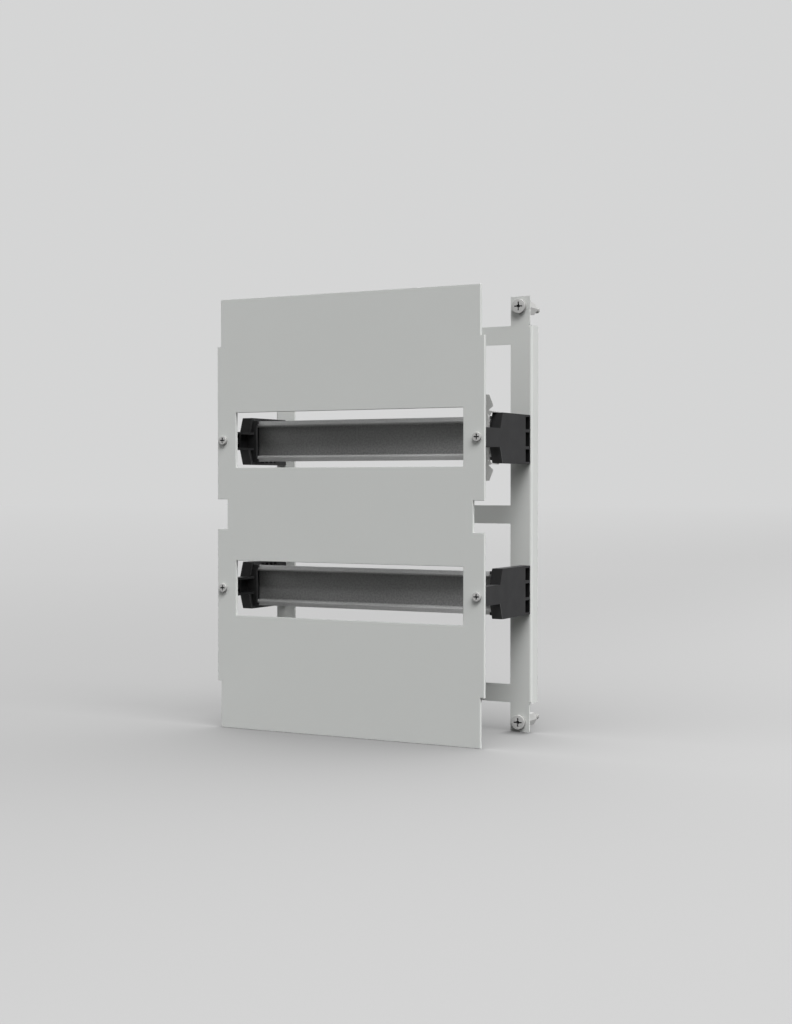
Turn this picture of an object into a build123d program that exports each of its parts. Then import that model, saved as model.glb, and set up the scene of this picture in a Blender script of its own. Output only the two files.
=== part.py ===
from build123d import *
import os

# Module chassis: a flat cover over two module rails, held in front of a sheet-metal frame.
# All lengths are in millimetres. +X is right, +Y is towards the back, +Z is up.
# The origin is the centre of the four spacers, in the plane where they seat on the enclosure.

# Rows of modules
row_height = 125.0
cover_to_frame = 93.8
cover_to_rail = 43.2

# Cover plate
cover_width = 249.0
cover_height = 363.0
cover_sheet = 3.0
cover_end_inset = 3.4
cover_shoulder_drop = 39.8
cover_notch_height = 25.2
cover_notch_depth = 9.8
cover_slot_margin = 18.3
cover_slot_height = 46.4
cover_edge_radius = 0.4

# Cover screws
cover_screw_inset = 6.0
cover_screw_diameter = 4.0
cover_screw_head_diameter = 7.4
cover_screw_head_height = 2.2
cover_screw_grip = 10.0
cover_hole_clearance = 0.25

# Mounting frame
frame_overhang = 0.5
frame_sheet = 2.0
frame_upright_width = 19.5
frame_bar_height = 15.2
frame_tab_length = 24.3
frame_flange_depth = 12.5
frame_bend_radius = 0.4
frame_relief_radius = 1.2

# Mounting bolts, and the six-sided spacers with a stud that they hold behind the frame
bolt_inset_x = 11.3
bolt_inset_z = 8.3
bolt_diameter = 4.5
bolt_head_diameter = 12.0
bolt_head_height = 3.3
bolt_grip = 10.0
bolt_hole_clearance = 0.5
spacer_length = 22.8
spacer_across_flats = 10.0
spacer_edge_bevel = 0.4
spacer_bore_clearance = 0.1
spacer_bore_spare = 2.0
stud_diameter = 5.0
stud_length = 14.2

# Module rails, top-hat section
rail_width = 35.0
rail_depth = 7.5
rail_sheet = 1.0
rail_opening = 25.0
rail_bend_radius = 0.8
rail_grip = 3.0

# Rail holders
holder_width = 8.9
holder_screw_wall = 4.9
holder_height = 40.6
holder_wall = 2.0
holder_front_wall = 3.2
holder_lead = 10.7
holder_slant = 4.5
holder_corner_radius = 1.0
nose_height = 15.3
nose_front_wall = 2.5
nose_cross_wall = 2.4
nose_window = 20.5
boss_diameter = 8.0
lip_thickness = 2.0
lip_reach = 2.5
lip_height = 35.6
lip_pad_reach = 4.0
lip_pad_height = 2.5
groove_clearance = 0.15
side_pocket_count = 4
side_pocket_block = 6.0
rear_pocket_depth = 6.4
rear_pocket_length = 8.5
rear_pocket_height = 11.7
rear_pocket_rib = 2.35
rear_pocket_wall = 1.65
rear_pocket_skin = 1.4

# Hooks that hang each holder on the frame
hook_width = 4.0
hook_height = 6.0
hook_toe = 3.0
hook_thickness = 2.5
hook_clearance = 0.2

# Earthing clip behind the cover's edge
clip_sheet = 0.8
clip_lead = 5.0
clip_reach = 5.5
clip_clearance = 0.3
clip_blade_overlap = 1.9
clip_strap_width = 3.8
clip_strap_seat = 4.5
clip_wing_height = 13.2
clip_wing_reach = 5.1
clip_wing_slant = 3.2
clip_wing_root = 0.95
clip_wing_low = 4.0
clip_wing_tip = 1.6
clip_tooth = 3.2

# Cross recesses of the screws
recess_arm_ratio = 0.62
recess_slot_ratio = 0.13
recess_depth_ratio = 0.55

# Planes along the depth, worked out from the spacers' seats towards the front
frame_rear_y = -spacer_length
frame_front_y = frame_rear_y - frame_sheet
cover_front_y = frame_front_y - cover_to_frame
cover_back_y = cover_front_y + cover_sheet
rail_front_y = cover_front_y + cover_to_rail
rail_back_y = rail_front_y + rail_depth
holder_near_y = rail_front_y - holder_lead
holder_far_y = holder_near_y + holder_slant

# Places across the width and the height
cover_shoulder_height = cover_height - 2 * cover_shoulder_drop
cover_slot_width = cover_width - 2 * cover_slot_margin
cover_screw_x = cover_width / 2 - cover_screw_inset
holder_outset = cover_screw_x + holder_screw_wall
holder_inner_x = holder_outset - holder_width
frame_width = cover_width + 2 * frame_overhang
frame_height = cover_height
frame_outer_x = frame_width / 2
frame_inner_x = frame_outer_x - frame_upright_width
frame_bend_outer = frame_bend_radius + frame_sheet
tab_outer_x = frame_outer_x - frame_bend_outer
flange_top_z = frame_height / 2 - frame_tab_length
frame_bar_spacing = flange_top_z - frame_bar_height / 2
bolt_spacing_x = frame_width - 2 * bolt_inset_x
bolt_spacing_z = frame_height - 2 * bolt_inset_z
holder_top_z = holder_height / 2
nose_top_z = nose_height / 2

rows = {"upper": row_height / 2, "lower": -row_height / 2}
sides = {"left": -1, "right": 1}
ends = {"top": 1, "bottom": -1}


def at_depth(y):
    """Plane that faces the front, at depth y: its X is the part's X and its Y is the part's Z."""
    return Plane.XZ.offset(-y)


def add_corner_box(x_pair, y_pair, z_pair, mode):
    """Box between two values along each axis, added to or cut from the piece being built."""
    centre = [(a + b) / 2 for a, b in (x_pair, y_pair, z_pair)]
    lengths = [abs(b - a) for a, b in (x_pair, y_pair, z_pair)]
    with Locations(tuple(centre)):
        Box(*lengths, mode=mode)


def upright_edges_at(piece, x, y):
    """Upright edges of a piece at depth y and at the distance x on either side of the middle."""
    upright = piece.edges().filter_by(Axis.Z)
    return [e for e in upright if abs(abs(e.center().X) - x) + abs(e.center().Y - y) < 0.01]


def save(piece, name):
    """Names a finished piece and writes its file."""
    piece.part.label = name
    export_step(piece.part, f"parts/{name}.step")


def cut_cross_recess(x, y, z, head_diameter, head_height):
    """Cross recess in the front of a screw head whose front face is at depth y."""
    arm = head_diameter * recess_arm_ratio
    slot = head_diameter * recess_slot_ratio
    depth = head_height * recess_depth_ratio
    with BuildSketch(at_depth(y), mode=Mode.PRIVATE) as recess:
        with Locations((x, z)):
            Rectangle(arm, slot)
            Rectangle(slot, arm)
            Circle(slot)
    extrude(recess.sketch, amount=-depth, mode=Mode.SUBTRACT)


def corners_at(vertices, points):
    """Those of a sketch's corners that lie at the points or at their mirror images below."""
    return [v for v in vertices if any(abs(v.X - x) + abs(abs(v.Y) - y) < 0.01 for x, y in points)]


def rail_section(row_z, gap=0.0):
    """Top-hat section in the Y-Z plane, grown by a gap where it is a groove."""
    rim = rail_width / 2
    inside = rail_opening / 2
    outside = inside + rail_sheet
    flange_back = rail_front_y + rail_sheet
    web_front = rail_back_y - rail_sheet
    upper = [
        (web_front, inside),
        (rail_front_y, inside),
        (rail_front_y, rim),
        (flange_back, rim),
        (flange_back, outside),
        (rail_back_y, outside),
    ]
    lower = [(y, -z) for y, z in reversed(upper)]
    with Locations((0, row_z)):
        with BuildSketch(mode=Mode.PRIVATE) as hat:
            with BuildLine():
                Polyline(*upper, *lower, close=True)
            make_face()
            inner_folds = ((web_front, inside), (flange_back, outside))
            outer_folds = ((rail_front_y, inside), (rail_back_y, outside))
            fillet(corners_at(hat.vertices(), inner_folds), rail_bend_radius)
            fillet(corners_at(hat.vertices(), outer_folds), rail_bend_radius + rail_sheet)
            if gap:
                offset(amount=gap, kind=Kind.INTERSECTION)
        add(hat.sketch)


os.makedirs("parts", exist_ok=True)


# Cover plate: stepped outline, a notch in the middle of each side and a slot for each row
with BuildPart() as cover_plate:
    with BuildSketch(at_depth(cover_back_y)):
        Rectangle(cover_width - 2 * cover_end_inset, cover_height)
        Rectangle(cover_width, cover_shoulder_height)
        with GridLocations(cover_width, 0, 2, 1):
            Rectangle(2 * cover_notch_depth, cover_notch_height, mode=Mode.SUBTRACT)
        with GridLocations(0, row_height, 1, 2):
            Rectangle(cover_slot_width, cover_slot_height, mode=Mode.SUBTRACT)
    extrude(amount=cover_sheet)
    front_edges = cover_plate.faces().sort_by(Axis.Y)[0].edges()
    back_edges = cover_plate.faces().sort_by(Axis.Y)[-1].edges()
    fillet(front_edges + back_edges, cover_edge_radius)
    with BuildSketch(at_depth(cover_back_y)):
        with GridLocations(2 * cover_screw_x, row_height, 2, 2):
            Circle(cover_screw_diameter / 2 + cover_hole_clearance)
    extrude(amount=cover_sheet, mode=Mode.SUBTRACT)
save(cover_plate, "cover_plate")


# Mounting frame: two folded uprights with end tabs, joined by three bars, all one sheet
hook_slot_width = hook_width + 2 * hook_clearance
hook_slot_height = hook_height + hook_toe + 2 * hook_clearance
hook_centre_x = holder_inner_x + hook_width / 2
hook_centre_z = (holder_top_z - rear_pocket_wall + rear_pocket_height / 2 + rear_pocket_rib) / 2
hook_bottom_z = -hook_height / 2

with BuildPart() as mounting_frame:
    for side in sides.values():
        with BuildSketch(Plane.XY.offset(-flange_top_z)):
            flange_end_y = frame_front_y + frame_flange_depth
            with BuildLine():
                Polyline(
                    (side * frame_inner_x, frame_front_y),
                    (side * frame_outer_x, frame_front_y),
                    (side * frame_outer_x, flange_end_y),
                    (side * (frame_outer_x - frame_sheet), flange_end_y),
                    (side * (frame_outer_x - frame_sheet), frame_rear_y),
                    (side * frame_inner_x, frame_rear_y),
                    close=True,
                )
            make_face()
        extrude(amount=2 * flange_top_z)
    fillet(upright_edges_at(mounting_frame, frame_outer_x, frame_front_y), frame_bend_outer)
    fillet(upright_edges_at(mounting_frame, frame_outer_x - frame_sheet, frame_rear_y), frame_bend_radius)
    with BuildSketch(at_depth(frame_rear_y)):
        with GridLocations(0, frame_bar_spacing, 1, 3):
            Rectangle(2 * frame_inner_x, frame_bar_height)
        with GridLocations(frame_inner_x + tab_outer_x, 0, 2, 1):
            Rectangle(tab_outer_x - frame_inner_x, frame_height)
    extrude(amount=frame_sheet)
    with BuildSketch(at_depth(frame_rear_y)):
        with GridLocations(2 * (tab_outer_x + frame_relief_radius / 2), 2 * flange_top_z, 2, 2):
            Circle(frame_relief_radius)
        with GridLocations(bolt_spacing_x, bolt_spacing_z, 2, 2):
            Circle(bolt_diameter / 2 + bolt_hole_clearance)
        for row_z in rows.values():
            for end in ends.values():
                slot_bottom_z = row_z + end * hook_centre_z + hook_bottom_z - hook_clearance
                with Locations((0, slot_bottom_z + hook_slot_height / 2)):
                    with GridLocations(2 * hook_centre_x, 0, 2, 1):
                        Rectangle(hook_slot_width, hook_slot_height)
    extrude(amount=frame_sheet, mode=Mode.SUBTRACT)
save(mounting_frame, "mounting_frame")


# Module rails: top-hat strips whose ends sit in the holders' grooves
rail_half_length = holder_inner_x + rail_grip
for row_name, row_z in rows.items():
    with BuildPart() as module_rail:
        with BuildSketch(Plane.YZ.offset(-rail_half_length)):
            rail_section(row_z)
        extrude(amount=2 * rail_half_length)
    save(module_rail, f"{row_name}_module_rail")


# Rail holders: moulded blocks on the frame, each with a nose that reaches the cover
lip_front_y = rail_front_y - groove_clearance - lip_thickness
cross_wall_rear_y = lip_front_y - nose_window
cross_wall_front_y = cross_wall_rear_y - nose_cross_wall
rear_pocket_back_y = frame_front_y - rear_pocket_skin
rear_pocket_front_y = rear_pocket_back_y - rear_pocket_length
side_pockets_front_y = rail_back_y + holder_wall
side_pockets_back_y = rear_pocket_front_y - side_pocket_block
side_pocket_pitch = (side_pockets_back_y - side_pockets_front_y + holder_wall) / side_pocket_count
screw_bore_radius = cover_screw_diameter / 2 + groove_clearance
wedge_top_z = holder_top_z - holder_wall
slant = holder_slant / (holder_top_z - nose_top_z)
wedge_near_y = holder_near_y + holder_front_wall * (1 + slant**2) ** 0.5
wedge_far_y = wedge_near_y + slant * (wedge_top_z - nose_top_z)

for row_name, row_z in rows.items():
    for side_name, side in sides.items():
        inner_x = side * holder_inner_x
        outer_x = side * holder_outset
        cavity_x = side * (holder_outset - holder_wall)
        with BuildPart() as rail_holder:
            with BuildSketch(Plane.YZ.offset(inner_x)):
                with Locations((0, row_z)):
                    with BuildSketch(mode=Mode.PRIVATE) as side_outline:
                        upper = [
                            (cover_back_y, nose_top_z),
                            (holder_near_y, nose_top_z),
                            (holder_far_y, holder_top_z),
                            (frame_front_y, holder_top_z),
                        ]
                        lower = [(y, -z) for y, z in reversed(upper)]
                        with BuildLine():
                            Polyline(*upper, *lower, close=True)
                        make_face()
                        block_corners = ((holder_far_y, holder_top_z), (frame_front_y, holder_top_z))
                        fillet(corners_at(side_outline.vertices(), block_corners), holder_corner_radius)
                    add(side_outline.sketch)
            extrude(amount=side * holder_width)
            nose_inside = nose_top_z - holder_wall
            nose_cells = (
                (cover_back_y + nose_front_wall, cross_wall_front_y),
                (cross_wall_rear_y, lip_front_y),
            )
            for cell in nose_cells:
                z_pair = (row_z - nose_inside, row_z + nose_inside)
                add_corner_box((inner_x, cavity_x), cell, z_pair, Mode.SUBTRACT)
            with BuildSketch(Plane.YZ.offset(inner_x)):
                with Locations((0, row_z)):
                    with BuildSketch(mode=Mode.PRIVATE) as wedge:
                        with BuildLine():
                            Polyline(
                                (wedge_near_y, nose_top_z),
                                (wedge_far_y, wedge_top_z),
                                (lip_front_y, wedge_top_z),
                                (lip_front_y, nose_top_z),
                                close=True,
                            )
                        make_face()
                        mirror(about=Plane.XZ)
                    add(wedge.sketch)
            extrude(amount=cavity_x - inner_x, mode=Mode.SUBTRACT)
            boss_length = cross_wall_front_y - cover_back_y
            with BuildSketch(at_depth(cross_wall_front_y)):
                with Locations((side * cover_screw_x, row_z)):
                    Circle(boss_diameter / 2)
            extrude(amount=boss_length)
            for index in range(side_pocket_count):
                front_y = side_pockets_front_y + index * side_pocket_pitch
                back_y = front_y + side_pocket_pitch - holder_wall
                pocket_top = holder_top_z - rear_pocket_wall
                z_pair = (row_z - pocket_top, row_z + pocket_top)
                add_corner_box((inner_x, cavity_x), (front_y, back_y), z_pair, Mode.SUBTRACT)
            middle_top = rear_pocket_height / 2
            outer_bottom = middle_top + rear_pocket_rib
            outer_top = holder_top_z - rear_pocket_wall
            pocket_floor_x = side * (holder_outset - rear_pocket_depth)
            for low, high in ((-middle_top, middle_top), (outer_bottom, outer_top), (-outer_top, -outer_bottom)):
                add_corner_box(
                    (pocket_floor_x, outer_x),
                    (rear_pocket_front_y, rear_pocket_back_y),
                    (row_z + low, row_z + high),
                    Mode.SUBTRACT,
                )
            lip_x = side * (holder_inner_x - lip_reach)
            add_corner_box(
                (lip_x, inner_x),
                (lip_front_y, lip_front_y + lip_thickness),
                (row_z - lip_height / 2, row_z + lip_height / 2),
                Mode.ADD,
            )
            pad_x = side * (holder_inner_x - lip_pad_reach)
            for end in ends.values():
                pad_z_pair = (
                    row_z + end * (lip_height / 2 - lip_pad_height),
                    row_z + end * lip_height / 2,
                )
                add_corner_box(
                    (pad_x, inner_x),
                    (lip_front_y, lip_front_y + lip_thickness),
                    pad_z_pair,
                    Mode.ADD,
                )
            with BuildSketch(Plane.YZ.offset(inner_x)):
                rail_section(row_z, groove_clearance)
            extrude(amount=side * (rail_grip + groove_clearance), mode=Mode.SUBTRACT)
            with BuildSketch(at_depth(cross_wall_front_y)):
                with Locations((side * cover_screw_x, row_z)):
                    Circle(screw_bore_radius)
            extrude(amount=boss_length, mode=Mode.SUBTRACT)
            hook_back_y = frame_rear_y + hook_clearance + hook_thickness
            for end in ends.values():
                hook_z = row_z + end * hook_centre_z
                hook_x_pair = (inner_x, inner_x + side * hook_width)
                neck_z_pair = (hook_z + hook_bottom_z, hook_z + hook_height / 2)
                toe_z_pair = (hook_z + hook_bottom_z - hook_toe, hook_z + hook_bottom_z)
                toe_y_pair = (frame_rear_y + hook_clearance, hook_back_y)
                add_corner_box(hook_x_pair, (frame_front_y, hook_back_y), neck_z_pair, Mode.ADD)
                add_corner_box(hook_x_pair, toe_y_pair, toe_z_pair, Mode.ADD)
        save(rail_holder, f"{row_name}_{side_name}_rail_holder")


# Cover screws: pan heads with a cross recess, one into each holder's nose
for row_name, row_z in rows.items():
    for side_name, side in sides.items():
        screw_x = side * cover_screw_x
        head_front_y = cover_front_y - cover_screw_head_height
        with BuildPart() as cover_screw:
            with BuildSketch(at_depth(cover_front_y)):
                with Locations((screw_x, row_z)):
                    Circle(cover_screw_head_diameter / 2)
            extrude(amount=cover_screw_head_height)
            rim = cover_screw.faces().sort_by(Axis.Y)[0].edges()
            fillet(rim, 0.4 * cover_screw_head_height)
            with BuildSketch(at_depth(cover_front_y)):
                with Locations((screw_x, row_z)):
                    Circle(cover_screw_diameter / 2)
            extrude(amount=-(cover_sheet + cover_screw_grip))
            tip = cover_screw.faces().sort_by(Axis.Y)[-1].edges()
            chamfer(tip, 0.2 * cover_screw_diameter)
            cut_cross_recess(screw_x, head_front_y, row_z, cover_screw_head_diameter, cover_screw_head_height)
        save(cover_screw, f"{row_name}_{side_name}_cover_screw")


# Mounting bolts: pan heads with a cross recess, one through each end tab into a spacer
# Stud spacers: six-sided pillars behind the tabs, each with a round-ended stud that goes into the enclosure
spacer_bore_radius = bolt_diameter / 2 + spacer_bore_clearance
spacer_bore_depth = bolt_grip + spacer_bore_spare

for end_name, end in ends.items():
    for side_name, side in sides.items():
        bolt_x = side * bolt_spacing_x / 2
        bolt_z = end * bolt_spacing_z / 2
        head_front_y = frame_front_y - bolt_head_height
        with BuildPart() as mounting_bolt:
            with BuildSketch(at_depth(frame_front_y)):
                with Locations((bolt_x, bolt_z)):
                    Circle(bolt_head_diameter / 2)
            extrude(amount=bolt_head_height)
            rim = mounting_bolt.faces().sort_by(Axis.Y)[0].edges()
            fillet(rim, 0.35 * bolt_head_height)
            with BuildSketch(at_depth(frame_front_y)):
                with Locations((bolt_x, bolt_z)):
                    Circle(bolt_diameter / 2)
            extrude(amount=-(frame_sheet + bolt_grip))
            tip = mounting_bolt.faces().sort_by(Axis.Y)[-1].edges()
            chamfer(tip, 0.2 * bolt_diameter)
            cut_cross_recess(bolt_x, head_front_y, bolt_z, bolt_head_diameter, bolt_head_height)
        save(mounting_bolt, f"{end_name}_{side_name}_mounting_bolt")

        with BuildPart() as stud_spacer:
            with BuildSketch(at_depth(frame_rear_y)):
                with Locations((bolt_x, bolt_z)):
                    RegularPolygon(spacer_across_flats / 2, 6, major_radius=False)
            extrude(amount=-spacer_length)
            chamfer(stud_spacer.faces().sort_by(Axis.Y)[-1].edges(), spacer_edge_bevel)
            with BuildSketch(at_depth(0)):
                with Locations((bolt_x, bolt_z)):
                    Circle(stud_diameter / 2)
            extrude(amount=-stud_length)
            fillet(stud_spacer.faces().sort_by(Axis.Y)[-1].edges(), 0.35 * stud_diameter)
            with BuildSketch(at_depth(frame_rear_y)):
                with Locations((bolt_x, bolt_z)):
                    Circle(spacer_bore_radius)
            extrude(amount=-spacer_bore_depth, mode=Mode.SUBTRACT)
        save(stud_spacer, f"{end_name}_{side_name}_stud_spacer")


# Earthing clip: winged spring blade beside the upper right nose, with a strap over and under the holder
blade_back_y = holder_near_y - clip_lead
blade_inner_x = holder_inner_x - clip_reach
blade_neck_x = holder_inner_x - clip_clearance
blade_outer_x = holder_inner_x + clip_blade_overlap
strap_inner_x = holder_inner_x + clip_clearance
strap_outer_x = strap_inner_x + clip_strap_width
strap_top_z = holder_top_z + clip_sheet
wing_root_x = strap_inner_x + clip_wing_root
wing_tip_x = holder_inner_x + clip_wing_reach
wing_crown_x = wing_tip_x - clip_wing_slant
wing_low_z = strap_top_z + clip_wing_low
wing_high_z = wing_low_z + clip_wing_tip
wing_top_z = strap_top_z + clip_wing_height
tooth_x = (strap_inner_x + strap_outer_x) / 2

with BuildPart() as earthing_clip:
    with BuildSketch(at_depth(blade_back_y)):
        with Locations((0, rows["upper"])):
            with BuildSketch(mode=Mode.PRIVATE) as blade:
                with BuildLine():
                    Polyline(
                        (blade_inner_x, 0),
                        (blade_neck_x, 0),
                        (blade_neck_x, nose_top_z + clip_clearance),
                        (blade_outer_x, nose_top_z + clip_clearance),
                        (blade_outer_x, holder_top_z - 2 * clip_tooth),
                        (strap_inner_x, holder_top_z - clip_tooth / 3),
                        (tooth_x, holder_top_z - clip_tooth),
                        (strap_outer_x, holder_top_z),
                        (strap_outer_x, strap_top_z),
                        (wing_root_x, strap_top_z + clip_sheet),
                        (wing_tip_x, wing_low_z),
                        (wing_tip_x, wing_high_z),
                        (wing_crown_x, wing_top_z),
                        (blade_inner_x + clip_strap_width, wing_top_z),
                        (blade_inner_x, holder_top_z),
                        close=True,
                    )
                make_face()
                mirror(about=Plane.XZ)
            add(blade.sketch)
    extrude(amount=clip_sheet)
    for end in ends.values():
        add_corner_box(
            (strap_inner_x, strap_outer_x),
            (blade_back_y - clip_sheet, holder_far_y + clip_strap_seat),
            (rows["upper"] + end * holder_top_z, rows["upper"] + end * strap_top_z),
            Mode.ADD,
        )
save(earthing_clip, "earthing_clip")
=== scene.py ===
import math

import bmesh
import bpy
from mathutils import Matrix, Vector


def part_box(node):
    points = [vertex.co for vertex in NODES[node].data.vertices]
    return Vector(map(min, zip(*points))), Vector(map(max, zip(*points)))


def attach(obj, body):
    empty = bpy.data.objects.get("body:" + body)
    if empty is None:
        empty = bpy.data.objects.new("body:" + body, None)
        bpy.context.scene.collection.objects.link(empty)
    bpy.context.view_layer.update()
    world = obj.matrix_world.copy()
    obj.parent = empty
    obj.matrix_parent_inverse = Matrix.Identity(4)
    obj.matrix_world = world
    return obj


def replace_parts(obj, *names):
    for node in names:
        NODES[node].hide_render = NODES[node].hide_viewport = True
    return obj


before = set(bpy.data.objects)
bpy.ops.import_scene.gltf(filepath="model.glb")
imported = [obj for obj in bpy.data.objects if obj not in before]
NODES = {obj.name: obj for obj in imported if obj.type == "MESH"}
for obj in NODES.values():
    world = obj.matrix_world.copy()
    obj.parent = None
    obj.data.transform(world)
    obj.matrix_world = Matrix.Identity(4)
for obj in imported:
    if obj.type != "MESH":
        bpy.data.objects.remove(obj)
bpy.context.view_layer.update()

MM = 0.001
COVER_LOW, COVER_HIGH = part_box("cover_plate")
FRAME_LOW, FRAME_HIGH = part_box("mounting_frame")
SHOWN_HEIGHT = COVER_HIGH.z - COVER_LOW.z
UPRIGHT_WIDTH = 19.5 * MM
FLOOR_Z = COVER_LOW.z
COVER_FRONT_Y = COVER_LOW.y

# Places on the rails and their holders, for the finishes and the shade painted into them: depths along Y,
# and heights from a row's middle
ROW_HEIGHT = 62.5 * MM
RAIL_FOLD = (12.2 * MM, 13.4 * MM)
OUTER_SIDE = max(abs(corner.x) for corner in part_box("upper_right_rail_holder"))
INNER_SIDE = 105 * MM
CELL_FRONT = -114.4 * MM
CELL_HALF = 5.7 * MM
NOSE_HALF = 7.7 * MM
FRONT_SLANT = 0.356
FRONT_FACE = -88.8 * MM
FRONT_HALF = 20.8 * MM
WEDGE_FRONT = -85.6 * MM
WEDGE_HALF = 18.2 * MM
POCKETS_BACK = -77.7 * MM
LIP_BACK = -75.5 * MM
REAR_POCKETS = (-34.8 * MM, -26.1 * MM)
REAR_DEPTH = 6.6 * MM


# Materials

class Link:
    """A node's output that takes part in arithmetic."""

    def __init__(self, finish, socket):
        self.finish = finish
        self.socket = socket

    def other(self, name):
        """Another output of the same node."""
        return Link(self.finish, self.socket.node.outputs[name])

    def math(self, operation, first, second=0.0):
        return self.finish.node("ShaderNodeMath", {"operation": operation}, {0: first, 1: second})

    def __add__(self, value):
        return self.math("ADD", self, value)

    def __radd__(self, value):
        return self.math("ADD", value, self)

    def __sub__(self, value):
        return self.math("SUBTRACT", self, value)

    def __rsub__(self, value):
        return self.math("SUBTRACT", value, self)

    def __mul__(self, value):
        return self.math("MULTIPLY", self, value)

    def __rmul__(self, value):
        return self.math("MULTIPLY", value, self)

    def __truediv__(self, value):
        return self.math("DIVIDE", self, value)

    def __pow__(self, value):
        return self.math("POWER", self, value)

    def arctan(self):
        return self.math("ARCTANGENT", self)

    def absolute(self):
        return self.math("ABSOLUTE", self)

    def sign(self):
        return self.math("SIGN", self)


class Finish:
    """A material while it is made: its node tree and what it is made from."""

    def __init__(self, name):
        self.material = bpy.data.materials.new(name)
        self.material.use_nodes = True
        self.tree = self.material.node_tree
        self.tree.nodes.clear()

    def node(self, kind, settings=None, sockets=None):
        """A node of that kind, with its settings made and its sockets filled or linked."""
        made = self.tree.nodes.new(kind)
        for key, value in (settings or {}).items():
            setattr(made, key, value)
        for key, value in (sockets or {}).items():
            if isinstance(value, Link):
                self.tree.links.new(value.socket, made.inputs[key])
            else:
                made.inputs[key].default_value = value
        return Link(self, made.outputs[0]) if len(made.outputs) else None

    def place(self, scale=(1.0, 1.0, 1.0), turn=(0.0, 0.0, 0.0)):
        """The point on the surface in the object's own frame, stretched where a pattern runs one way."""
        point = self.node("ShaderNodeTexCoord").other("Object")
        return self.node("ShaderNodeMapping", None, {"Vector": point, "Scale": scale, "Rotation": turn})

    def axes(self):
        """The point's X, Y and Z as three values."""
        split = self.node("ShaderNodeSeparateXYZ", None, {"Vector": self.place()})
        return split, split.other("Y"), split.other("Z")

    def noise(self, size, detail=2.0, roughness=0.5, scale=(1.0, 1.0, 1.0), turn=(0.0, 0.0, 0.0)):
        """Noise whose features are about that size, in metres."""
        return self.node("ShaderNodeTexNoise", None, {
            "Vector": self.place(scale, turn),
            "Scale": 1.0 / size,
            "Detail": detail,
            "Roughness": roughness,
        })

    def spread(self, value, low, high, to_low=0.0, to_high=1.0):
        """Takes a value from one range to another, with both ends held."""
        return self.node("ShaderNodeMapRange", {"clamp": True}, {
            "Value": value,
            "From Min": low,
            "From Max": high,
            "To Min": to_low,
            "To Max": to_high,
        })

    def between(self, value, low, high):
        """1 where the value lies between the two, else 0."""
        return self.node("ShaderNodeMath", {"operation": "COMPARE"}, {
            0: value,
            1: (low + high) / 2,
            2: (high - low) / 2,
        })

    def mix(self, factor, first, second):
        """Mix of two colours."""
        made = self.tree.nodes.new("ShaderNodeMix")
        made.data_type = "RGBA"
        for key, value in ((0, factor), (6, first), (7, second)):
            if isinstance(value, Link):
                self.tree.links.new(value.socket, made.inputs[key])
            else:
                made.inputs[key].default_value = value
        return Link(self, made.outputs[2])

    def bump(self, height, distance, under=None):
        """A bumped normal whose full height is the given distance, in metres."""
        sockets = {"Height": height, "Distance": distance, "Strength": 1.0}
        if under is not None:
            sockets["Normal"] = under
        return self.node("ShaderNodeBump", None, sockets)

    def end(self, **sockets):
        """Closes the material with a Principled shader. Words in a name are joined by underlines."""
        named = {key.replace("_", " "): value for key, value in sockets.items()}
        shader = self.node("ShaderNodeBsdfPrincipled", None, named)
        self.node("ShaderNodeOutputMaterial", None, {"Surface": shader})
        return self.material


def shade(red, green, blue):
    return (red, green, blue, 1.0)


def powder_coat(name, light, dark, roughness):
    """Baked powder coat: an even light grey with a fine peel and a slight speckle, and painted shade on
    faces that turn upwards, which dims their tops and upper edges.
    """
    finish = Finish(name)
    speckle = finish.noise(0.5 * MM, 2.0)
    cloud = finish.noise(60 * MM, 3.0)
    factor = finish.spread(speckle, 0.35, 0.65) * 0.5 + finish.spread(cloud, 0.3, 0.7) * 0.5
    # Painted shade: the colour is mixed towards dark grey the more a face turns upwards.
    facing = finish.node("ShaderNodeNewGeometry").other("Normal")
    upward = finish.node("ShaderNodeSeparateXYZ", None, {"Vector": facing}).other("Z")
    upward_shade = finish.spread(upward, 0.05, 0.8) * 0.85
    colour = finish.mix(upward_shade, finish.mix(factor, dark, light), shade(0.26, 0.27, 0.26))
    gloss = finish.spread(cloud, 0.3, 0.7, roughness - 0.03, roughness + 0.03)
    peel = finish.noise(1.4 * MM, 2.0)
    grit = finish.noise(0.35 * MM, 1.0)
    normal = finish.bump(peel * 0.8 + grit * 0.2, 0.02 * MM)
    return finish.end(Base_Color=colour, Roughness=gloss, Normal=normal, IOR=1.5)


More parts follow.
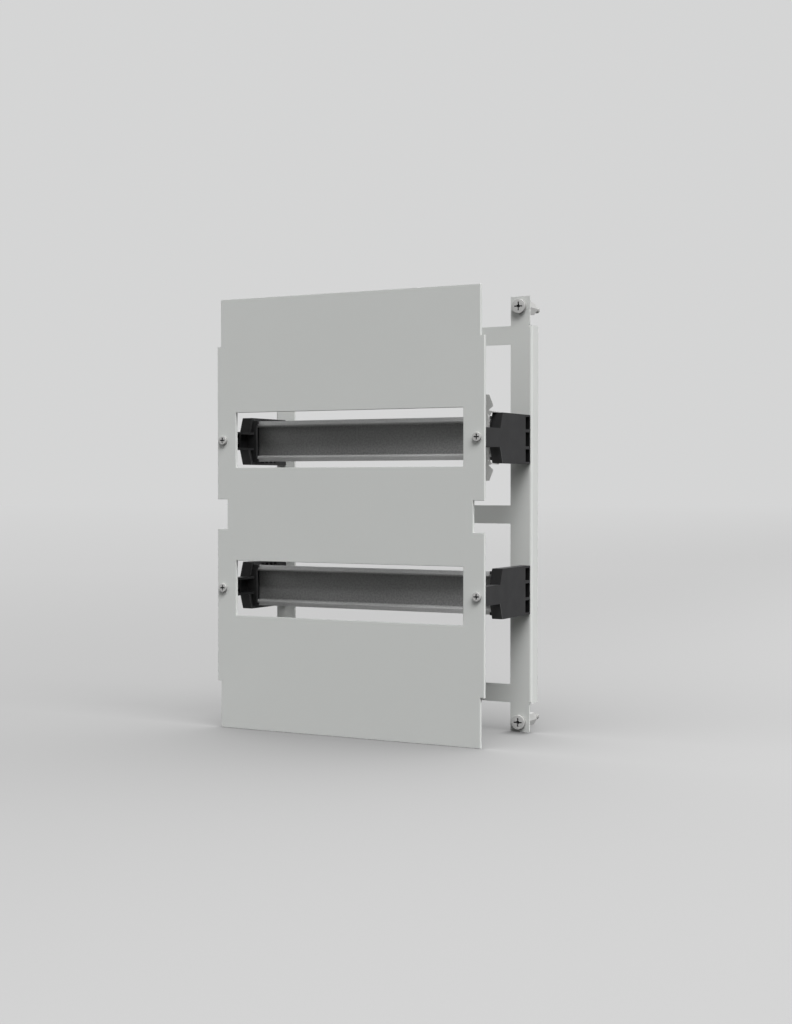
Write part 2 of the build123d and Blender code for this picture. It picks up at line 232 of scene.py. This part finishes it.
def drawn_strip(name, light, dark, channel_shade, roughness):
    """Zinc-plated strip with fine lines along it, mottled in the rails' channel, where painted shade mixes
    the colour towards black by the channel_shade share.
    """
    finish = Finish(name)
    lines = finish.noise(1.0 * MM, 3.0, 0.6, scale=(0.02, 1.0, 4.0))
    fine = finish.noise(0.25 * MM, 2.0, 0.5, scale=(0.01, 1.0, 1.0))
    cloud = finish.noise(25 * MM, 3.0, scale=(0.4, 1.0, 1.0))
    streaks = finish.spread(lines, 0.3, 0.7) * 0.6 + finish.spread(fine, 0.3, 0.7) * 0.4
    grain = finish.noise(1.6 * MM, 1.0)
    height = finish.axes()[2]
    from_middle = (height.absolute() - ROW_HEIGHT).absolute()
    lighter_share = finish.spread(from_middle, *RAIL_FOLD)
    mottled = finish.spread(grain, 0.35, 0.65) * 0.6 + streaks * 0.25
    lined = finish.spread(grain, 0.35, 0.65) * 0.15 + streaks * 0.7
    factor = finish.spread(cloud, 0.3, 0.7) * 0.15 + mottled * (1.0 - lighter_share) + lined * lighter_share
    tone = finish.mix(factor, dark, light)
    # Painted shade: in the channel between the folds the colour is mixed towards black; the flanges keep
    # the plain tone.
    colour = finish.mix(lighter_share, finish.mix(channel_shade, shade(0.0, 0.0, 0.0), tone), tone)
    gloss = finish.spread(factor, 0.0, 1.0, roughness + 0.06, roughness - 0.06)
    normal = finish.bump(streaks, 0.004 * MM)
    return finish.end(Base_Color=colour, Metallic=0.05, Roughness=gloss, Normal=normal)


def plated(name, light, dark, roughness, metal, grain_height):
    """Zinc plate on small pressed and turned parts."""
    finish = Finish(name)
    patch = finish.noise(1.8 * MM, 3.0)
    grain = finish.noise(0.2 * MM, 2.0)
    factor = finish.spread(patch, 0.3, 0.7) * 0.7 + grain * 0.3
    colour = finish.mix(factor, dark, light)
    gloss = finish.spread(factor, 0.0, 1.0, roughness + 0.05, roughness - 0.05)
    normal = finish.bump(grain, grain_height)
    return finish.end(
        Base_Color=colour, Metallic=metal, Roughness=gloss, Specular_IOR_Level=0.25, Normal=normal,
    )


def moulded(name, light, dark, roughness, grain_height, shine):
    """Moulded plastic with a spark-eroded grain, with painted shade in the pockets of the rail holders.

    Painted shade also darkens the front faces beside the nose above it, painted light makes those below it
    lighter, and the lip before the rail is made a little lighter.
    """
    finish = Finish(name)
    grain = finish.noise(0.28 * MM, 2.0, 0.6)
    flow = finish.noise(14 * MM, 2.0)
    factor = finish.spread(grain, 0.35, 0.65) * 0.5 + finish.spread(flow, 0.3, 0.7) * 0.5
    x, y, z = finish.axes()
    side = x.absolute()
    height = z.absolute() - ROW_HEIGHT
    level = height.absolute()
    above = finish.spread(z.sign() * height, 0.0, MM)
    slanted = y - level * FRONT_SLANT
    before_lip = finish.between(y, CELL_FRONT, POCKETS_BACK)
    lip = finish.between(y, POCKETS_BACK, LIP_BACK) * finish.between(side, INNER_SIDE, OUTER_SIDE - 2 * MM)
    cell = before_lip * finish.between(side, INNER_SIDE, OUTER_SIDE - 1.5 * MM)
    cell = cell * finish.between(level, -CELL_HALF, CELL_HALF)
    wedge = before_lip * finish.between(side, INNER_SIDE, OUTER_SIDE - 0.3 * MM)
    wedge = wedge * finish.between(level, NOSE_HALF, WEDGE_HALF) * finish.between(slanted, WEDGE_FRONT, 0.0)
    front = finish.between(slanted, FRONT_FACE - MM, FRONT_FACE + MM)
    front = front * finish.between(level, NOSE_HALF, FRONT_HALF)
    rear = finish.between(y, *REAR_POCKETS)
    rear = rear * finish.between(side, OUTER_SIDE - REAR_DEPTH, OUTER_SIDE - 0.3 * MM)
    # Painted shade: the cell, the rear and wedge pockets and the front faces above the nose are mixed
    # towards black.
    shade_share = (cell + rear) * 0.7 + wedge * 0.85 + front * above * 0.56
    # Mixed towards pale grey: painted light on the front faces below the nose, and a slight lightening of
    # the lip.
    lighter_share = lip * 0.03 + front * (1.0 - above) * 0.07
    shaded_tone = finish.mix(shade_share, finish.mix(factor, dark, light), shade(0.0, 0.0, 0.0))
    colour = finish.mix(lighter_share, shaded_tone, shade(0.6, 0.6, 0.6))
    gloss = finish.spread(factor, 0.0, 1.0, roughness + 0.05, roughness - 0.05)
    normal = finish.bump(grain, grain_height)
    return finish.end(Base_Color=colour, Roughness=gloss, Normal=normal, Specular_IOR_Level=shine)


COVER_PAINT = powder_coat(
    "cover_powder_coat", shade(0.636, 0.650, 0.634), shade(0.620, 0.634, 0.618),
    0.60,
)
FRAME_PAINT = powder_coat(
    "frame_powder_coat", shade(0.608, 0.620, 0.604), shade(0.592, 0.604, 0.588),
    0.58,
)
# The 0.50 is the share of painted shade in the rails' channel.
RAIL_STEEL = drawn_strip(
    "rail_zinc_strip", shade(0.68, 0.68, 0.68), shade(0.46, 0.46, 0.46),
    0.50, 0.60,
)
SCREW_ZINC = plated(
    "screw_zinc_plate", shade(0.54, 0.54, 0.53), shade(0.49, 0.49, 0.48),
    0.70, 0.0, 0.004 * MM,
)
# Painted shade: a darker copy of the screws' zinc for the side round their heads.
SCREW_SHADED_SIDE = plated(
    "screw_side_painted_shade", shade(0.34, 0.34, 0.33), shade(0.30, 0.30, 0.29),
    0.60, 0.3, 0.002 * MM,
)
# Painted shade: a near-black copy of the screws' zinc inside the cross recess.
SCREW_RECESS_SHADE = plated(
    "screw_recess_painted_shade", shade(0.14, 0.14, 0.14), shade(0.10, 0.10, 0.10),
    0.85, 0.0, 0.004 * MM,
)
CLIP_STEEL = plated(
    "clip_spring_steel", shade(0.56, 0.56, 0.55), shade(0.48, 0.48, 0.47),
    0.55, 0.4, 0.004 * MM,
)
SPACER_ZINC = plated(
    "spacer_zinc_plate", shade(0.62, 0.62, 0.61), shade(0.57, 0.57, 0.56),
    0.46, 0.85, 0.001 * MM,
)
STUD_ZINC = plated(
    "stud_zinc_plate", shade(0.44, 0.44, 0.43), shade(0.40, 0.40, 0.39),
    0.70, 0.3, 0.003 * MM,
)
HOLDER_PLASTIC = moulded(
    "holder_black_moulding", shade(0.033, 0.033, 0.034), shade(0.027, 0.027, 0.028),
    0.60, 0.010 * MM, 0.12,
)


# Shapes

def piece_from(bm, name, finishes, sharp_angle=35.0):
    """A finished piece from a bmesh, smooth but for its sharp edges, riding on the one body."""
    mesh = bpy.data.meshes.new(name)
    bm.to_mesh(mesh)
    bm.free()
    if "custom_normal" in mesh.attributes:
        mesh.attributes.remove(mesh.attributes["custom_normal"])
    for face in mesh.polygons:
        face.use_smooth = True
    mesh.set_sharp_from_angle(angle=math.radians(sharp_angle))
    for finish in finishes:
        mesh.materials.append(finish)
    piece = bpy.data.objects.new(name, mesh)
    bpy.context.scene.collection.objects.link(piece)
    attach(piece, "root")
    return piece


def merged_copy(node):
    """The node's solid with its triangles joined into flat faces."""
    bm = bmesh.new()
    bm.from_mesh(NODES[node].data)
    bmesh.ops.remove_doubles(bm, verts=bm.verts, dist=0.0005 * MM)
    bmesh.ops.dissolve_limit(bm, angle_limit=math.radians(0.5), verts=bm.verts, edges=bm.edges)
    return bm


def dressed(node, material, radius, segments=2, angle=35.0):
    """The node's own shape with its sharp edges rounded, in place of the node."""
    piece = piece_from(merged_copy(node), f"{node}_dressed", [material], angle)
    rounding = piece.modifiers.new("rounded_edges", "BEVEL")
    rounding.width = radius
    rounding.segments = segments
    rounding.limit_method = "ANGLE"
    rounding.angle_limit = math.radians(angle)
    rounding.harden_normals = True
    rounding.use_clamp_overlap = True
    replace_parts(piece, node)
    return piece


def paint_node(node, material):
    """Gives a node that stays its finish."""
    solid = NODES[node]
    solid.data.materials.clear()
    solid.data.materials.append(material)


def facing_out(bm):
    """The bmesh with its doubled corners merged and all its faces turned outwards."""
    bmesh.ops.remove_doubles(bm, verts=bm.verts, dist=0.0005 * MM)
    bm.normal_update()
    bmesh.ops.recalc_face_normals(bm, faces=bm.faces)
    return bm


def turned(profile, steps=48):
    """A solid of revolution about Y from a line of (radius, along) points with both ends on the axis."""
    bm = bmesh.new()
    corners = [bm.verts.new((radius, along, 0.0)) for radius, along in profile]
    edges = [bm.edges.new(pair) for pair in zip(corners, corners[1:])]
    bmesh.ops.spin(
        bm, geom=corners + edges, cent=(0.0, 0.0, 0.0), axis=(0.0, 1.0, 0.0),
        dvec=(0.0, 0.0, 0.0), angle=2 * math.pi, steps=steps, use_merge=True,
    )
    return facing_out(bm)


def arc_points(centre, radius, start, stop, count):
    """Points of an arc in the plane of radius and along, with angles in degrees from the radius."""
    angles = [math.radians(start + (stop - start) * i / (count - 1)) for i in range(count)]
    return [(centre[0] + radius * math.cos(a), centre[1] + radius * math.sin(a)) for a in angles]


def solid_of(bm, name):
    """A loose object for a Boolean from a bmesh."""
    mesh = bpy.data.meshes.new(name)
    bm.to_mesh(mesh)
    bm.free()
    piece = bpy.data.objects.new(name, mesh)
    bpy.context.scene.collection.objects.link(piece)
    return piece


def carved(bm, tools):
    """The bmesh after each (operation, tool bmesh) has been taken out of it or intersected with it."""
    body = solid_of(bm, "carved_body")
    cutters = []
    for operation, tool in tools:
        cutters.append(solid_of(tool, "carving_tool"))
        cut = body.modifiers.new("carving", "BOOLEAN")
        cut.operation = operation
        cut.solver = "EXACT"
        cut.object = cutters[-1]
    finished = bpy.data.meshes.new_from_object(body.evaluated_get(bpy.context.evaluated_depsgraph_get()))
    result = bmesh.new()
    result.from_mesh(finished)
    bpy.data.meshes.remove(finished)
    for piece in cutters + [body]:
        bpy.data.meshes.remove(piece.data)
    bmesh.ops.remove_doubles(result, verts=result.verts, dist=0.0005 * MM)
    return result


def cross_cutter(front, arm, slot, flare, depth):
    """A tapered cross with rounded inner corners, whose mouth is at that depth along Y."""
    half, long = slot / 2, arm / 2
    quarter = [(long, -half), (long, half), (half, half)]
    outline = []
    for turn in range(4):
        quarter_turn = Matrix.Rotation(turn * math.pi / 2, 2)
        outline += [quarter_turn @ Vector(point) for point in quarter]
    bm = bmesh.new()
    corners = [bm.verts.new((point.x, front, point.y)) for point in outline]
    bm.faces.new(corners)
    inner = [corner for corner in corners if abs(abs(corner.co.x) - abs(corner.co.z)) < 0.001 * MM]
    bmesh.ops.bevel(
        bm, geom=inner, offset=flare, offset_type="OFFSET", affect="VERTICES",
        segments=4, profile=0.25, material=-1,
    )
    mouth = bm.faces[:][0]
    grown = bmesh.ops.extrude_face_region(bm, geom=[mouth])
    floor_corners = [item for item in grown["geom"] if isinstance(item, bmesh.types.BMVert)]
    bmesh.ops.translate(bm, vec=(0.0, depth, 0.0), verts=floor_corners)
    bmesh.ops.scale(bm, vec=(0.80, 1.0, 0.80), verts=floor_corners)
    return facing_out(bm)


def thread_ridge(core, crest, pitch, start, length, steps_a_turn=20):
    """A closed helical ridge about Y whose root is just under the core's surface."""
    bm = bmesh.new()
    root = core - 0.05 * MM
    root_half, crest_half = 0.44 * pitch, 0.06 * pitch
    section = [(root, -root_half), (crest, -crest_half), (crest, crest_half), (root, root_half)]
    corners = [bm.verts.new((radius, start + along, 0.0)) for radius, along in section]
    face = bm.faces.new(corners)
    turns = (length - 0.9 * pitch) / pitch
    steps = int(turns * steps_a_turn)
    bmesh.ops.spin(
        bm, geom=[face], cent=(0.0, 0.0, 0.0), axis=(0.0, 1.0, 0.0),
        dvec=(0.0, pitch / steps_a_turn, 0.0), angle=2 * math.pi * steps / steps_a_turn,
        steps=steps, use_merge=False,
    )
    bmesh.ops.remove_doubles(bm, verts=bm.verts, dist=0.0005 * MM)
    loose = [f for f in bm.faces if len(f.verts) == 4 and all(len(e.link_faces) == 1 for e in f.edges)]
    bmesh.ops.delete(bm, geom=loose, context="FACES")
    open_edges = [e for e in bm.edges if len(e.link_faces) == 1]
    bmesh.ops.holes_fill(bm, edges=open_edges, sides=4)
    return facing_out(bm)


def joined(first, second):
    """Two bmeshes as one."""
    carrier = bpy.data.meshes.new("carrier")
    second.to_mesh(carrier)
    second.free()
    first.from_mesh(carrier)
    bpy.data.meshes.remove(carrier)
    return first


def screw(head_radius, head_height, shank_radius, shank_length, rounding, arm, slot, flare, pitch):
    """Pan-head screw with a cross recess and a rolled thread: head in front of Y = 0, shank behind.

    Its faces have three finishes: 0 on the front and the shank, 1 round the head, a darker copy that paints
    shade there, 2 in the recess, a dark copy that paints the shade inside it.
    """
    crown = arc_points((head_radius - rounding, rounding - head_height), rounding, -90.0, 0.0, 7)
    core = shank_radius - 0.1 * pitch
    bevel = 0.12 * MM
    profile = [(0.0, -head_height)] + crown + [(head_radius, -bevel), (head_radius - bevel, 0.0)]
    profile += [(core, 0.0), (core, shank_length - 0.8 * MM)]
    profile += [(core - 0.6 * MM, shank_length), (0.0, shank_length)]
    cutter = cross_cutter(-head_height - 0.2 * MM, arm, slot, flare, 0.75 * head_height + 0.2 * MM)
    body = carved(turned(profile), [("DIFFERENCE", cutter)])
    for face in body.faces:
        middle = face.calc_center_median()
        away = math.hypot(middle.x, middle.z)
        sunk = 0.02 * MM - head_height < middle.y < -0.1 * MM
        if away < head_radius - rounding and sunk:
            face.material_index = 2
        elif away > head_radius - 0.6 * rounding and middle.y > 0.9 * rounding - head_height:
            face.material_index = 1
    ridge = thread_ridge(core, shank_radius, pitch, 1.5 * pitch, shank_length - 2.5 * pitch)
    return joined(body, ridge)


def stud_spacer(across_flats, length, stud_radius, stud_length, bore_radius, bore_depth, pitch):
    """Six-sided spacer in front of Y = 0 with turned ends, and a threaded stud with a round end behind it.

    Its faces have two finishes: 0 on the spacer and 1 on the stud.
    """
    corner_radius = across_flats / math.sqrt(3.0)
    spare = MM
    hexagon = bmesh.new()
    corners = []
    for turn in range(0, 360, 60):
        across = corner_radius * math.cos(math.radians(turn))
        up = corner_radius * math.sin(math.radians(turn))
        corners.append(hexagon.verts.new((across, -length - spare, up)))
    hexagon.faces.new(corners)
    grown = bmesh.ops.extrude_face_region(hexagon, geom=hexagon.faces[:])
    rear = [item for item in grown["geom"] if isinstance(item, bmesh.types.BMVert)]
    bmesh.ops.translate(hexagon, vec=(0.0, length + 2 * spare, 0.0), verts=rear)
    facing_out(hexagon)
    land = 0.97 * across_flats / 2
    outside = corner_radius + 0.3 * MM
    reach = (outside - land) * math.tan(math.radians(30.0))
    envelope = turned([
        (0.0, -length), (land, -length), (outside, reach - length),
        (outside, -reach), (land, 0.0), (0.0, 0.0),
    ], 60)
    half_step = Matrix.Rotation(math.radians(3.0), 3, "Y")
    bmesh.ops.rotate(envelope, cent=(0.0, 0.0, 0.0), matrix=half_step, verts=envelope.verts)
    mouth_depth = 0.35 * MM
    mouth_radius = bore_radius + 0.3 * MM * (spare + mouth_depth) / mouth_depth
    bore = turned([
        (0.0, -length - spare), (mouth_radius, -length - spare), (bore_radius, mouth_depth - length),
        (bore_radius, bore_depth - length), (0.0, bore_depth + MM - length),
    ])
    body = carved(hexagon, [("INTERSECT", envelope), ("DIFFERENCE", bore)])
    core = stud_radius - 0.42 * MM
    tip_radius = 1.75 * MM
    tip = arc_points((core - tip_radius, stud_length - tip_radius), tip_radius, 0.0, 90.0, 8)
    stud = turned([(0.0, -0.5 * MM), (core, -0.5 * MM)] + tip + [(0.0, stud_length)], 32)
    ridge = thread_ridge(core, stud_radius, pitch, 0.8 * pitch, stud_length - 2.6 * pitch)
    stud = joined(stud, ridge)
    for face in stud.faces:
        face.material_index = 1
    return joined(body, stud)


def set_at(bm, place):
    """Moves a bmesh to its place."""
    bmesh.ops.translate(bm, vec=place, verts=bm.verts)
    return bm


def middle_of(node):
    """The node's middle across and up, and its nearest and farthest depth."""
    low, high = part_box(node)
    return (low.x + high.x) / 2, (low.z + high.z) / 2, low.y, high.y


def detailed_screw(node, sizes):
    """A screw with its recess and thread in place of the node, as long as the node is."""
    x, z, front, back = middle_of(node)
    head = sizes["head_height"]
    shape = screw(shank_length=back - front - head, **sizes)
    shape = set_at(shape, (x, front + head, z))
    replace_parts(piece_from(shape, f"{node}_detailed", SCREW_FINISHES), node)


def detailed_spacer(node, sizes):
    """A spacer with its bore and threaded stud in place of the node."""
    x, z, front, back = middle_of(node)
    shape = set_at(stud_spacer(**sizes), (x, back - sizes["stud_length"], z))
    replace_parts(piece_from(shape, f"{node}_detailed", SPACER_FINISHES), node)


# Sizes of the screws and spacers, as the solids have them
COVER_SCREW = {
    "head_radius": 3.7 * MM,
    "head_height": 2.2 * MM,
    "shank_radius": 2.0 * MM,
    "rounding": 0.3 * MM,
    "arm": 4.7 * MM,
    "slot": 1.1 * MM,
    "flare": 0.2 * MM,
    "pitch": 1.0 * MM,
}
MOUNTING_BOLT = {
    "head_radius": 6.0 * MM,
    "head_height": 3.3 * MM,
    "shank_radius": 2.5 * MM,
    "rounding": 0.3 * MM,
    "arm": 7.3 * MM,
    "slot": 1.15 * MM,
    "flare": 0.9 * MM,
    "pitch": 0.8 * MM,
}
STUD_SPACER = {
    "across_flats": 10.0 * MM,
    "length": 22.8 * MM,
    "stud_radius": 2.5 * MM,
    "stud_length": 14.2 * MM,
    "bore_radius": 2.55 * MM,
    "bore_depth": 12.0 * MM,
    "pitch": 0.8 * MM,
}
SCREW_FINISHES = [SCREW_ZINC, SCREW_SHADED_SIDE, SCREW_RECESS_SHADE]
SPACER_FINISHES = [SPACER_ZINC, STUD_ZINC]

paint_node("cover_plate", COVER_PAINT)
dressed("mounting_frame", FRAME_PAINT, 0.25 * MM)
dressed("earthing_clip", CLIP_STEEL, 0.12 * MM)
for row in ("upper", "lower"):
    paint_node(f"{row}_module_rail", RAIL_STEEL)
    for side in ("left", "right"):
        dressed(f"{row}_{side}_rail_holder", HOLDER_PLASTIC, 0.2 * MM)
        detailed_screw(f"{row}_{side}_cover_screw", COVER_SCREW)
for end in ("top", "bottom"):
    for side in ("left", "right"):
        detailed_screw(f"{end}_{side}_mounting_bolt", MOUNTING_BOLT)
        detailed_spacer(f"{end}_{side}_stud_spacer", STUD_SPACER)


# Floor, light and camera

BACKDROP = shade(0.664, 0.666, 0.666)
FLOOR_LEVEL = 0.598
FLOOR_LIT = 1.46
COVER_SHADE = 0.66
FRAME_SHADE = 0.42
UPRIGHT_SHADE = 0.53
FOOT_SHADE = 0.42


def sky_hidden(x, y, left, right, depth):
    """The share of an even sky that an upright plate on the floor hides from a point of the floor."""
    away = (y - depth).absolute() + MM
    over = (away * away + SHOWN_HEIGHT**2) ** 0.5

    def share(width):
        return ((width / away).arctan() - away / over * (width / over).arctan()) / (2 * math.pi)

    return share(right - x) - share(left - x)


def floor_material():
    """Pale matt floor with painted shade, darker near the object's feet as under an even sky and with a
    painted contact shadow in front of the frame's feet, with painted light that makes it brighter to the
    right and darker to the left, and like the backdrop far out.

    Little of its light goes back to the object, so the object's undersides stay dark.
    """
    finish = Finish("pale_floor")
    x, y = finish.axes()[:2]
    away = (x * x + (y + 0.07) * (y + 0.07)) ** 0.5
    # Painted light and shade: the floor is brighter to the right and darker to the left.
    side_light = 0.15 * x / (1.0 + (x / 0.6) ** 2)
    open_floor = FLOOR_LEVEL + side_light + 0.032 * finish.spread(away, 0.0, 2.5)
    cover = sky_hidden(x, y, COVER_LOW.x, COVER_HIGH.x, COVER_LOW.y)
    whole = sky_hidden(x, y, FRAME_LOW.x, FRAME_HIGH.x, FRAME_LOW.y)
    left = sky_hidden(x, y, FRAME_LOW.x, FRAME_LOW.x + UPRIGHT_WIDTH, FRAME_LOW.y)
    right = sky_hidden(x, y, FRAME_HIGH.x - UPRIGHT_WIDTH, FRAME_HIGH.x, FRAME_LOW.y)
    uprights = left + right
    level = open_floor * (1.0 - COVER_SHADE * cover - FRAME_SHADE * whole - UPRIGHT_SHADE * uprights)
    # Painted contact shadow on the floor just in front of the frame's feet.
    ahead = FRAME_LOW.y - y
    near = finish.spread(ahead, 6 * MM, 20 * MM, 1.0, 0.0) * finish.between(ahead, -MM, 35 * MM)
    outward = x.absolute() - FRAME_HIGH.x
    foot = finish.spread(outward, -25 * MM, -16 * MM) * finish.spread(outward, -5 * MM, 2 * MM, 1.0, 0.0)
    level = level * (1.0 - FOOT_SHADE * near * foot)
    level = level + finish.noise(1.5 * MM, 2.0) * 0.01
    shown = finish.mix(level, shade(0.0, 0.0, 0.0), shade(1.0, 1.0, 1.0))
    matt = finish.mix(level / FLOOR_LIT, shade(0.0, 0.0, 0.0), shade(1.0, 1.0, 1.0))
    lit = finish.node("ShaderNodeBsdfDiffuse", None, {"Color": matt})
    even = finish.node("ShaderNodeEmission", None, {"Color": shown, "Strength": 1.0})
    far = finish.node("ShaderNodeEmission", None, {"Color": BACKDROP, "Strength": 1.0})
    close = finish.node("ShaderNodeMixShader", None, {0: 0.7, 1: lit, 2: even})
    pale = finish.node("ShaderNodeMixShader", None, {0: finish.spread(away, 3.0, 14.0), 1: close, 2: far})
    dim = finish.node("ShaderNodeBsdfDiffuse", None, {"Color": shade(0.08, 0.08, 0.08)})
    ray = finish.node("ShaderNodeLightPath")
    seen = ray + ray.other("Is Glossy Ray") + ray.other("Is Transmission Ray")
    both = finish.node("ShaderNodeMixShader", None, {0: seen, 1: dim, 2: pale})
    finish.node("ShaderNodeOutputMaterial", None, {"Surface": both})
    return finish.material


bm = bmesh.new()
bmesh.ops.create_grid(bm, x_segments=8, y_segments=8, size=15.0)
bmesh.ops.translate(bm, vec=(0.0, 0.0, FLOOR_Z), verts=bm.verts)
floor_mesh = bpy.data.meshes.new("floor")
bm.to_mesh(floor_mesh)
bm.free()
floor_mesh.materials.append(floor_material())
floor = bpy.data.objects.new("floor", floor_mesh)
bpy.context.scene.collection.objects.link(floor)

world = bpy.data.worlds.new("pale_room")
bpy.context.scene.world = world
world.use_nodes = True
tree = world.node_tree
tree.nodes.clear()
ray = tree.nodes.new("ShaderNodeLightPath")
camera_or_gloss = tree.nodes.new("ShaderNodeMath")
camera_or_gloss.operation = "MAXIMUM"
any_seen = tree.nodes.new("ShaderNodeMath")
any_seen.operation = "MAXIMUM"
room = tree.nodes.new("ShaderNodeBackground")
room.inputs["Color"].default_value = shade(1.0, 1.0, 1.0)
room.inputs["Strength"].default_value = 0.03
view = tree.nodes.new("ShaderNodeBackground")
view.inputs["Color"].default_value = BACKDROP
either = tree.nodes.new("ShaderNodeMixShader")
out = tree.nodes.new("ShaderNodeOutputWorld")
tree.links.new(ray.outputs["Is Camera Ray"], camera_or_gloss.inputs[0])
tree.links.new(ray.outputs["Is Glossy Ray"], camera_or_gloss.inputs[1])
tree.links.new(camera_or_gloss.outputs[0], any_seen.inputs[0])
tree.links.new(ray.outputs["Is Transmission Ray"], any_seen.inputs[1])
tree.links.new(any_seen.outputs[0], either.inputs[0])
tree.links.new(room.outputs[0], either.inputs[1])
tree.links.new(view.outputs[0], either.inputs[2])
tree.links.new(either.outputs[0], out.inputs["Surface"])


def distant_softbox(name, around, height, spread, strength):
    """A soft lamp far away: around from the front to the right, height and width in degrees."""
    lamp = bpy.data.lights.new(name, "SUN")
    lamp.energy = strength
    lamp.angle = math.radians(spread)
    box = bpy.data.objects.new(name, lamp)
    bpy.context.scene.collection.objects.link(box)
    across, up = math.radians(around), math.radians(height)
    towards = Vector((math.sin(across) * math.cos(up), -math.cos(across) * math.cos(up), math.sin(up)))
    box.rotation_mode = "QUATERNION"
    box.rotation_quaternion = (-towards).to_track_quat("-Z", "Y")


distant_softbox("key_above_right", 35, 60, 30, 2.76)
distant_softbox("side_right", 80, 45, 30, 2.70)
distant_softbox("fill_front_right", 45, 28, 40, 0.12)
distant_softbox("fill_front_left", -45, 28, 40, 0.50)
distant_softbox("fill_behind", -135, 20, 50, 0.85)

camera = bpy.data.cameras.new("camera")
camera.lens = 56.681
camera.clip_start = 0.05
camera.clip_end = 60.0
viewpoint = bpy.data.objects.new("camera", camera)
bpy.context.scene.collection.objects.link(viewpoint)
viewpoint.location = (648.70 * MM, COVER_FRONT_Y - 1142.86 * MM, 26.29 * MM)
yaw, pitch = 0.484776, 0.017921
aim = Vector((-math.sin(yaw) * math.cos(pitch), math.cos(yaw) * math.cos(pitch), -math.sin(pitch)))
viewpoint.rotation_mode = "QUATERNION"
viewpoint.rotation_quaternion = aim.to_track_quat("-Z", "Y")
bpy.context.scene.camera = viewpoint
bpy.context.scene.view_settings.view_transform = "Standard"
